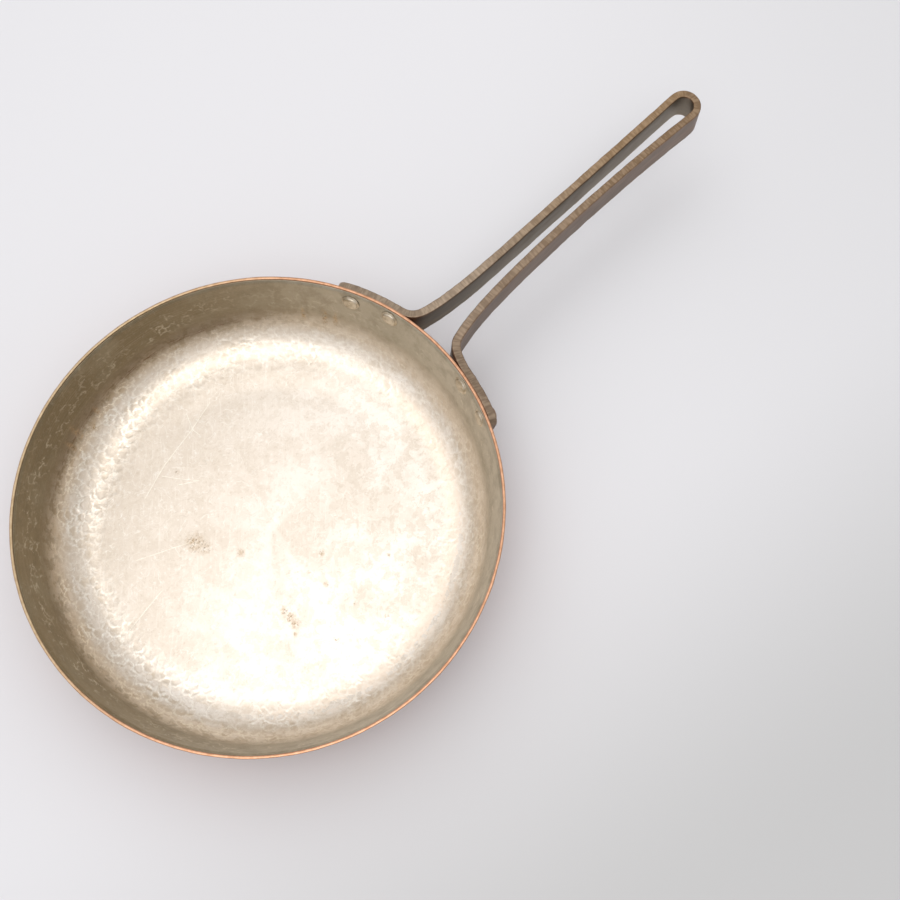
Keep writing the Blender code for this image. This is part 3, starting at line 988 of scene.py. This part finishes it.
def tin_relief(n, lines):
    relief = n.times(n.patch, 0.9)
    for part in (
        n.times(n.grain, 0.16), n.times(n.turning, n.wall, 0.25),
        n.times(n.flecks, n.corner, 0.35),
        n.times(n.add(n.hairs, n.more_hairs), 0.10), n.times(lines, -0.5),
    ):
        relief = n.add(relief, part)
    return n.bump(relief, 0.07 * MM, 0.9)


def tin_material():
    n = OldTin()
    colour = n.mix(n.wall, flecked_shaded_lit_corner(n, tin_floor(n)), tin_wall(n))
    colour = painted_ridge_highlights(n, dirty_crease(n, colour))
    lines = scratch_lines(n)
    colour = n.mix(n.times(lines, 0.65), colour, BRIGHT_SCRATCH)
    colour, spots = stained(n, gritty(n, colour))
    return n.finish(colour, tin_roughness(n, spots), tin_relief(n, lines))


# ---- copper

LIGHT_COPPER = (0.72, 0.33, 0.19)
HEATED_COPPER = (0.42, 0.17, 0.09)
SOOT = (0.16, 0.085, 0.055)
POLISHED_COPPER = (0.86, 0.47, 0.30)
BRIGHT_RIM = ((0.78, 0.44, 0.27), (0.58, 0.30, 0.17))
WORN_RIM = ((0.60, 0.46, 0.29), (0.46, 0.33, 0.19))
RIM_ARRIS = (0.36, 0.18, 0.10)
WORN_RIM_SIDE = math.radians(120)


def copper_material():
    """Bright filed copper at the rim, warm brown heat-toned copper outside."""
    n = Nodes(bpy.data.materials.new("hammered_copper"))
    where = n.position()
    angle, radius, height = polar(n, where)
    rim = n.ramp(height, PAN_HEIGHT - 1.6 * MM, PAN_HEIGHT - 0.4 * MM)
    cloud = n.noise(where, 26.0, 5.0, 0.62, 0.4)
    fine = n.noise(where, 300.0, 3.0, 0.6)
    underside = n.ramp(height, 16 * MM, 1 * MM)
    sooty = n.times(underside, n.ramp(n.noise(where, 34.0, 4.0, 0.7), 0.35, 0.65))
    outside = n.layered(
        LIGHT_COPPER, (n.ramp(cloud, 0.35, 0.68), HEATED_COPPER), (n.times(sooty, 0.6), SOOT),
        (n.times(n.attribute("ridge"), 0.45), POLISHED_COPPER),
    )
    filed = n.ramp(fine, 0.3, 0.7)
    worn_side = n.math("COSINE", n.math("SUBTRACT", angle, WORN_RIM_SIDE))
    top = n.mix(n.ramp(worn_side, 0.0, 0.8), n.mix(filed, *BRIGHT_RIM), n.mix(filed, *WORN_RIM))
    outer_edge = n.ramp(n.attribute("rim_share"), 0.55, 0.95)
    top = n.mix(n.times(outer_edge, 0.75), top, RIM_ARRIS)
    roughness = n.mix(rim, n.ramp(cloud, 0.3, 0.7, 0.26, 0.42), 0.34)
    file_way = n.node("ShaderNodeCombineXYZ", {0: n.times(angle, 160.0), 1: n.times(radius, 90.0)})
    file_lines = n.noise(file_way.outputs[0], 1.0, 2.0)
    bumps = n.add(n.times(fine, 0.4), n.times(file_lines, rim, 0.8))
    return n.finish(n.mix(rim, outside, top), roughness, n.bump(bumps, 0.04 * MM, 0.8))


# ---- bronze and rivets

SIDE_PATINA = ((0.130, 0.108, 0.080), (0.225, 0.190, 0.140))
RED_PATINA = ((0.155, 0.108, 0.085), (0.285, 0.205, 0.165))
PALE_SIDE = (0.36, 0.31, 0.25)
BROWN_CLOUD = (0.20, 0.15, 0.105)
EDGE_PATINA = ((0.33, 0.252, 0.180), (0.44, 0.345, 0.255))
GOLDEN_EDGE = (0.37, 0.235, 0.120)
DARK_EDGE = (0.23, 0.155, 0.10)
TICK_HOLLOW = (0.13, 0.085, 0.05)
TICK_CREST = (0.72, 0.56, 0.40)
DARK_ARRIS = (0.22, 0.12, 0.07)
TINNED_RIVET = ((0.42, 0.35, 0.25), (0.66, 0.58, 0.46))
BARE_RIVET = ((0.24, 0.15, 0.10), (0.40, 0.25, 0.16))
FINE_TICKS_END, BROAD_TICKS_START = 0.17, 0.27   # along the handle
NEAR_PAN, PALE_FROM = 0.135, 0.20
GOLD_START, GOLD_FULL = 0.15, 0.29


def bar_side_colour(n, x, cross, lengthways, cloud):
    """The bar's tall faces: dark near the pan, redder on the faces turned outwards."""
    drawn = n.ramp(lengthways, 0.35, 0.7)
    return n.layered(
        n.mix(drawn, *SIDE_PATINA),
        (n.times(n.ramp(x, NEAR_PAN, PALE_FROM), 0.55), PALE_SIDE),
        (n.times(n.ramp(cloud, 0.45, 0.7), 0.5), BROWN_CLOUD),
        (n.ramp(cross, 0.0, -1.5 * MM, 0.0, 0.75), n.mix(drawn, *RED_PATINA)),
    )


def bar_edge_colour(n, x, y, crossways, cloud):
    """The bar's narrow faces: golden towards the loop, darker on the right leg, with tool ticks."""
    colour = n.layered(
        n.mix(n.ramp(cloud, 0.35, 0.65), *EDGE_PATINA),
        (n.times(n.ramp(x, GOLD_START, GOLD_FULL), 0.85), GOLDEN_EDGE),
        (n.ramp(y, 2 * MM, -2 * MM, 0.0, 0.50), DARK_EDGE),
    )
    cut = n.times(n.attribute("tick"), 0.55)
    marks = n.ramp(n.add(cut, n.times(n.math("SUBTRACT", crossways, 0.5), 1.2)), -0.25, 0.35)
    return n.mix(n.times(marks, 0.75), n.mix(0.36, colour, TICK_HOLLOW), n.mix(0.22, colour, TICK_CREST))


def bronze_material():
    """Forged bar with a brown patina, worn golden on its edges towards the loop."""
    n = Nodes(bpy.data.materials.new("patinated_bronze"))
    where = n.position()
    x, y, _ = n.node("ShaderNodeSeparateXYZ", {0: where}).outputs
    edge = n.attribute("edge")
    cross = n.attribute("cross")
    places = {0: n.attribute("run"), 1: cross, 2: n.attribute("sink")}
    bar = n.node("ShaderNodeCombineXYZ", places).outputs[0]
    lengthways = n.noise(n.scaled(bar, (30.0, 700.0, 500.0)), 1.0, 4.0, 0.6)
    fine_cross = n.noise(n.scaled(bar, (1300.0, 90.0, 60.0)), 1.0, 3.0, 0.6)
    broad_cross = n.noise(n.scaled(bar, (620.0, 160.0, 60.0)), 1.0, 2.0, 0.5)
    crossways = n.mix(n.ramp(x, FINE_TICKS_END, BROAD_TICKS_START), fine_cross, broad_cross)
    cloud = n.noise(where, 60.0, 4.0, 0.6)
    side = bar_side_colour(n, x, cross, lengthways, cloud)
    colour = n.mix(edge, side, bar_edge_colour(n, x, y, crossways, cloud))
    arris = n.times(n.attribute("arris"), n.ramp(crossways, 0.4, 0.62, 0.2, 0.8))
    colour = n.mix(arris, colour, DARK_ARRIS)
    roughness = n.mix(edge, n.ramp(lengthways, 0.3, 0.7, 0.42, 0.56), n.ramp(crossways, 0.3, 0.7, 0.36, 0.5))
    bumps = n.add(n.times(crossways, edge), n.times(lengthways, 0.5))
    bumps = n.add(bumps, n.times(n.noise(where, 500.0, 3.0, 0.6), 0.3))
    return n.finish(colour, roughness, n.bump(bumps, 0.08 * MM, 0.9))


def rivet_material():
    """Rivets tinned over with the lining inside the pan, bare brown metal outside."""
    n = Nodes(bpy.data.materials.new("rivet_metal"))
    cloud = n.noise(n.position(), 300.0, 4.0, 0.6)
    uneven = n.ramp(cloud, 0.35, 0.65)
    colour = n.mix(n.attribute("inside"), n.mix(uneven, *BARE_RIVET), n.mix(uneven, *TINNED_RIVET))
    return n.finish(colour, n.ramp(cloud, 0.3, 0.7, 0.30, 0.46), n.bump(cloud, 0.06 * MM, 0.8))


# ---- assemble the object

def build(piece, node):
    """The piece rides on the base body and takes the place of its CAD node."""
    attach(piece, "root")
    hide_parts(node)


build(copper_piece(copper_material()), "copper_body")
build(tin_piece(tin_material()), "tin_lining")
build(handle_piece(bronze_material()), "handle")

RIVET_NODES = ("rivet_left_outer", "rivet_left_inner", "rivet_right_inner", "rivet_right_outer")
rivet_metal = rivet_material()
for number, node in enumerate(RIVET_NODES):
    build(rivet_piece(node + "_fine", node, number, rivet_metal), node)


# ---- table, light and camera

VIEW_ANGLE = math.radians(-45.6)
VIEW_RIGHT = Vector((math.cos(VIEW_ANGLE), math.sin(VIEW_ANGLE), 0))
VIEW_UP = Vector((-VIEW_RIGHT.y, VIEW_RIGHT.x, 0))
TABLE_SIZE = 6.0
TABLE_DROP = 0.2 * MM        # the table lies this far under the pan
# painted shade on the table beside the pan, along DIM_WAY and towards the view's right
DIM_WAY = VIEW_RIGHT - VIEW_UP * 1.6
DIM_START, DIM_FULL = 0.12, 0.52     # the table dims over this range along DIM_WAY
DIM_END, DIM_GONE = 0.45, 1.10       # and is pale again this far from the pan
SHADE_ASIDE_START, SHADE_ASIDE_FULL = 0.10, 0.38
TABLE_TONES = ((0.595, 0.59, 0.60), (0.605, 0.60, 0.61))
TABLE_PAINTED_SHADE = (0.435, 0.432, 0.427)
TABLE_PAINTED_SHADE_ASIDE = (0.42, 0.42, 0.415)
CAMERA_PLACE = Vector((-0.03467, -0.17601, 0.62083))
CAMERA_TURN = (math.radians(17.057), math.radians(0.678), math.radians(-45.583))
CAMERA_LENS = 47.85
CAMERA_SENSOR = 36.0
SKY_COLOUR = (0.985, 0.98, 1.0)
HORIZON_GLOW = 0.68
OVERHEAD_GLOW = 1.06
BRIGHT_SIDE = VIEW_RIGHT * -1.0
SIDE_STRENGTH = 0.18


def table_material():
    """Matt pale table, with painted shade beside the pan: dimmer on the side that the light doesn't reach
    and towards the view's right.
    """
    n = Nodes(bpy.data.materials.new("pale_table"))
    where = n.position()
    nearby = n.ramp(n.distance(where, (0.0, 0.0, 0.0)), DIM_END, DIM_GONE, 1.0, 0.0)
    # painted shade: darker beside the pan on the side away from the light
    dim = n.times(nearby, n.ramp(n.along_way(where, DIM_WAY), DIM_START, DIM_FULL))
    colour = n.layered(n.mix(n.noise(where, 3.0, 2.0), *TABLE_TONES), (dim, TABLE_PAINTED_SHADE))
    # more painted shade towards the view's right, near the pan
    shade_aside = n.ramp(n.along_way(where, VIEW_RIGHT), SHADE_ASIDE_START, SHADE_ASIDE_FULL)
    colour = n.mix(n.times(nearby, shade_aside, 0.45), colour, n.mix(0.5, colour, TABLE_PAINTED_SHADE_ASIDE))
    return n.finish(colour, 0.55)


def table_piece(material):
    half = TABLE_SIZE / 2
    corners = ((-half, -half), (half, -half), (half, half), (-half, half))
    points = np.array([(x, y, -TABLE_DROP) for x, y in corners])
    return make_piece("table", points, [(0, 1, 2, 3)], material)


def add_camera():
    camera = bpy.data.cameras.new("camera")
    camera.lens = CAMERA_LENS
    camera.sensor_width = CAMERA_SENSOR
    viewpoint = bpy.data.objects.new("camera", camera)
    viewpoint.location = CAMERA_PLACE
    viewpoint.rotation_euler = CAMERA_TURN
    bpy.context.scene.collection.objects.link(viewpoint)
    bpy.context.scene.camera = viewpoint


def softbox(name, right, up, height, size, power):
    """A square area lamp placed along the view's right and up directions, aimed at the pan."""
    lamp = bpy.data.lights.new(name, "AREA")
    lamp.shape = "SQUARE"
    lamp.size = size
    lamp.energy = power
    holder = bpy.data.objects.new(name, lamp)
    holder.location = VIEW_RIGHT * right + VIEW_UP * up + Vector((0, 0, height))
    holder.rotation_euler = (-holder.location).to_track_quat("-Z", "Y").to_euler()
    bpy.context.scene.collection.objects.link(holder)
    return holder


def studio_world():
    """A soft pale dome, brightest overhead and towards the view's left, dimmer at the horizon."""
    n = Nodes(bpy.data.worlds.new("studio"))
    way = n.node("ShaderNodeTexCoord").outputs["Generated"]
    height = n.node("ShaderNodeSeparateXYZ", {0: way}).outputs[2]
    glow = n.node("ShaderNodeMapRange", {"Value": height, "To Min": HORIZON_GLOW, "To Max": OVERHEAD_GLOW})
    sided = n.add(n.along_way(way, BRIGHT_SIDE * SIDE_STRENGTH), 1.0)
    background = n.tree.nodes["Background"]
    n.feed(background.inputs["Color"], SKY_COLOUR)
    n.feed(background.inputs["Strength"], n.times(glow.outputs[0], sided))
    return n.owner


table_piece(table_material())
add_camera()
softbox("overhead", 0.02, -0.34, 1.10, 0.74, 2.60)
softbox("upper_glow", -0.10, 0.22, 1.10, 0.34, 0.20)
table_light = softbox("table_light", 0.03, 0.28, 0.90, 1.4, 4.7)
table_light.visible_glossy = False
bpy.context.scene.world = studio_world()
bpy.context.scene.view_settings.view_transform = "Standard"
